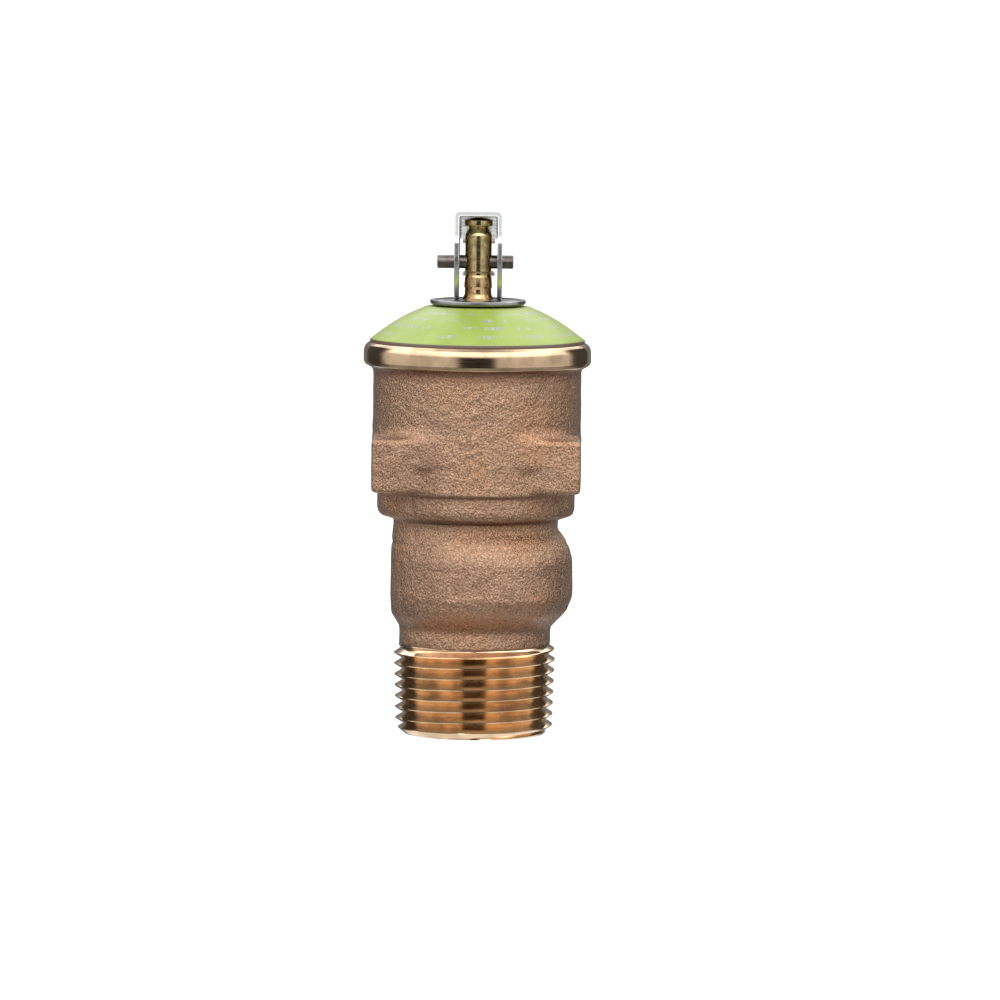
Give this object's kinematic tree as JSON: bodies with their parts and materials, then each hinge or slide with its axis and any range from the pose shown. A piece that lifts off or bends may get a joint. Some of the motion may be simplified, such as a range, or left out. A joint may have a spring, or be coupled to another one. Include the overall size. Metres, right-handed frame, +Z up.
{
  "type": "pressure relief valve",
  "caption": "Bronze pressure relief valve with a threaded pipe inlet, side outlet, wrench block, sprung disc inside, conical cap and a test lever pinned to the stem.",
  "frame": {"origin": "on the valve's axis at the end face of the threaded inlet", "axes": "+Z up the stem, +Y out of the outlet and along the lever's handle, +X along the lever's pin"},
  "size_m": [0.0378, 0.0509, 0.0871],
  "materials": {
    "cast_bronze": "sand cast, with the thread and the rim machined bright",
    "stainless_steel": "turned",
    "pressed_steel": "pressed and plated",
    "spring_steel": "drawn wire",
    "gasket_fibre": "pressed fibre",
    "brass": "turned",
    "stem_brass": "turned and slightly tarnished",
    "black_rubber": "moulded",
    "green_paint": "yellow-green paint with worn pale marks",
    "zinc_plate": "bright zinc plating on sheet steel",
    "pin_steel": "plain steel with a brown tint"
  },
  "bodies": {
    "valve": {"valve_body": "cast_bronze", "seat_ring": "stainless_steel", "bonnet": "pressed_steel", "bonnet_gasket": "gasket_fibre", "adjusting_screw": "brass", "upper_spring_button": "pressed_steel", "stem_seal": "black_rubber", "nameplate": "green_paint", "lever_plate": "zinc_plate"},
    "stem": {"stem": "stem_brass", "stem_clip": "stainless_steel", "stem_washer": "stainless_steel", "lever_pin": "pin_steel"},
    "disc": {"disc_holder": "brass", "seat_disc": "black_rubber", "disc_retainer": "stainless_steel", "disc_screw": "brass", "lower_spring_button": "pressed_steel", "pressure_spring": "spring_steel"},
    "lever": {"lever": "zinc_plate"}
  },
  "joints": [
    {"name": "lever_tilt", "type": "hinge", "parent": "stem", "child": "lever", "pos_m": [0, 0, 0.0785], "axis": [1, 0, 0], "range_deg": [0, 85]},
    {"name": "stem_lift", "type": "slide", "parent": "valve", "child": "stem", "axis": [0, 0, 1], "range_m": [0, 0.0026]},
    {"name": "disc_lift", "type": "slide", "parent": "stem", "child": "disc", "axis": [0, 0, 1], "range_m": [0, 0.0026], "stiffness_N_per_m": 400, "springref_m": -0.004, "deforming": ["pressure_spring"]}
  ],
  "couplings": [
    {"joint": "lever_tilt", "follows": "stem_lift", "rad_per_m": 570.59}
  ]
}
